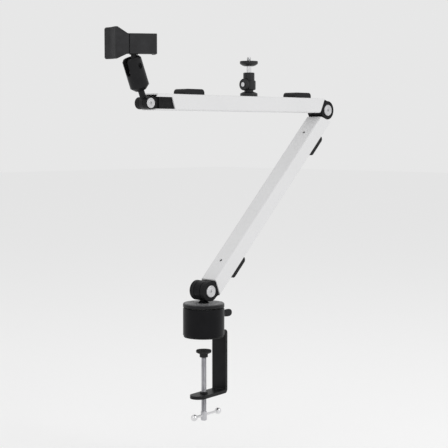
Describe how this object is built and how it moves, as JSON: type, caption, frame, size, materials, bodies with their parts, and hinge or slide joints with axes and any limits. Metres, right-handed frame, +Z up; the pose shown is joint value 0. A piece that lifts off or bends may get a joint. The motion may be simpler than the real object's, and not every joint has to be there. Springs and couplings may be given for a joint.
{
  "type": "clamp-on arm holder stand",
  "caption": "Two-segment folding arm that clamps to a table edge and holds a small tool or phone in a spring clip, with a small ball head for an accessory.",
  "frame": {"origin": "centre of the round base on the plane of the table top", "axes": "+Z up; the arms fold in the XZ plane with the elbow towards +X; the arm pivots run along Y"},
  "size_m": [0.4419, 0.0695, 0.579],
  "materials": {
    "bracket_paint": "satin black powder coat",
    "steel": "zinc plated",
    "screw_steel": "turned steel",
    "bright_steel": "polished",
    "spring_steel": "drawn wire",
    "pad_rubber": "matte",
    "grip_rubber": "matte",
    "base_black": "satin black",
    "cap_speckle": "fine speckled charcoal",
    "joint_black": "cast texture, black",
    "socket_black": "satin black",
    "head_black": "black anodised",
    "tube_silver": "matte silver anodised",
    "pin_cap": "satin",
    "black_plastic": "satin",
    "clip_plastic": "fine moulded texture",
    "seat_plastic": "plain",
    "nylon": "natural",
    "brass_insert": "knurled"
  },
  "bodies": {
    "base": {"clamp_bracket": "bracket_paint", "bracket_screws": "steel", "clamp_bush": "bracket_paint", "base_foot_pad": "pad_rubber", "base_housing": "base_black", "slip_ring": "nylon"},
    "wing": {"wing_screw": "steel", "wing_handle": "black_plastic"},
    "clamp_foot": {"clamp_pad": "pad_rubber"},
    "clamp_spindle": {"clamp_screw": "screw_steel"},
    "tommy": {"tommy_bar": "bright_steel", "tommy_balls": "bright_steel"},
    "swivel": {"swivel_cap": "cap_speckle", "swivel_spindle": "base_black", "spindle_screw": "steel"},
    "lower_arm": {"lower_tube": "tube_silver", "lower_fork": "joint_black", "lower_tongue": "joint_black", "lower_screws": "steel", "shoulder_pin": "pin_cap", "shoulder_nut": "steel", "shoulder_washers": "nylon", "lower_clip_a": "black_plastic", "lower_clip_b": "black_plastic"},
    "upper_arm": {"upper_tube": "tube_silver", "upper_fork": "joint_black", "wrist_fork": "joint_black", "upper_screws": "steel", "elbow_pin": "pin_cap", "elbow_nut": "steel", "elbow_washers": "nylon", "upper_clip_a": "black_plastic", "upper_clip_b": "black_plastic", "wrist_pin": "pin_cap", "wrist_nut": "steel", "wrist_washers": "nylon", "ballhead_foot": "head_black", "ballhead_screw": "steel"},
    "ballhead": {"ballhead_body": "head_black", "ball_seat": "nylon"},
    "ballhead_lock": {"lock_knob": "head_black", "knob_screw": "bright_steel"},
    "ballhead_top": {"ball_stem": "bright_steel", "accessory_plate": "head_black", "accessory_screw": "bright_steel"},
    "head_link": {"head_stem": "socket_black", "head_socket": "socket_black", "socket_seat": "seat_plastic", "socket_lock_screw": "socket_black"},
    "ball_stud": {"holder_ball": "socket_black", "holder_washer": "pad_rubber"},
    "clip": {"holder_body": "clip_plastic", "holder_nut": "brass_insert", "holder_pad": "grip_rubber", "fixed_jaw_pad": "grip_rubber", "holder_spring": "spring_steel"},
    "clip_jaw": {"jaw_rails": "bright_steel", "sliding_jaw": "clip_plastic", "sliding_jaw_pad": "grip_rubber"}
  },
  "joints": [
    {"name": "base_swivel", "type": "hinge", "parent": "base", "child": "swivel", "pos_m": [0, 0, 0.048], "axis": [0, 0, 1], "continuous": true},
    {"name": "shoulder", "type": "hinge", "parent": "swivel", "child": "lower_arm", "pos_m": [0, 0, 0.06946], "axis": [0, 1, 0], "range_deg": [-55, 30]},
    {"name": "elbow", "type": "hinge", "parent": "lower_arm", "child": "upper_arm", "pos_m": [0.26587, 0, 0.34096], "axis": [0, 1, 0], "range_deg": [-14, 133]},
    {"name": "wrist", "type": "hinge", "parent": "upper_arm", "child": "head_link", "pos_m": [-0.1155, 0, 0.3464], "axis": [0, 1, 0], "range_deg": [-140, 29]},
    {"name": "clip_tilt", "type": "hinge", "parent": "head_link", "child": "ball_stud", "pos_m": [-0.13573, 0, 0.39647], "axis": [0, 1, 0], "range_deg": [-95, 0]},
    {"name": "clip_spin", "type": "hinge", "parent": "ball_stud", "child": "clip", "pos_m": [-0.13573, 0, 0.41467], "axis": [0, 0, 1], "continuous": true},
    {"name": "clip_slide", "type": "slide", "parent": "clip", "child": "clip_jaw", "axis": [-0.8192, 0.5736, 0], "range_m": [0, 0.028], "stiffness_N_per_m": 120, "springref_m": -0.01, "deforming": ["holder_spring"]},
    {"name": "ballhead_pan", "type": "hinge", "parent": "upper_arm", "child": "ballhead", "pos_m": [0.097, 0, 0.36806], "axis": [0, 0, 1], "continuous": true},
    {"name": "ballhead_knob", "type": "hinge", "parent": "ballhead", "child": "ballhead_lock", "pos_m": [0.087, 0, 0.37806], "axis": [1, 0, 0], "continuous": true},
    {"name": "ballhead_tilt", "type": "hinge", "parent": "ballhead", "child": "ballhead_top", "pos_m": [0.097, 0, 0.39026], "axis": [0, 1, 0], "range_deg": [-20, 20]},
    {"name": "wing_turn", "type": "hinge", "parent": "base", "child": "wing", "pos_m": [0.04, 0, 0.031], "axis": [1, 0, 0], "continuous": true},
    {"name": "clamp_travel", "type": "slide", "parent": "base", "child": "clamp_foot", "axis": [0, 0, 1], "range_m": [-0.05, 0.018]},
    {"name": "clamp_turn", "type": "hinge", "parent": "clamp_foot", "child": "clamp_spindle", "pos_m": [0, 0, -0.06], "axis": [0, 0, 1], "range_deg": [-14400, 5184]},
    {"name": "tommy_slide", "type": "slide", "parent": "clamp_spindle", "child": "tommy", "axis": [0.9877, 0.1564, 0], "range_m": [-0.025, 0.013]}
  ],
  "couplings": [
    {"joint": "clamp_travel", "follows": "clamp_turn", "m_per_rad": 0.00019894}
  ]
}
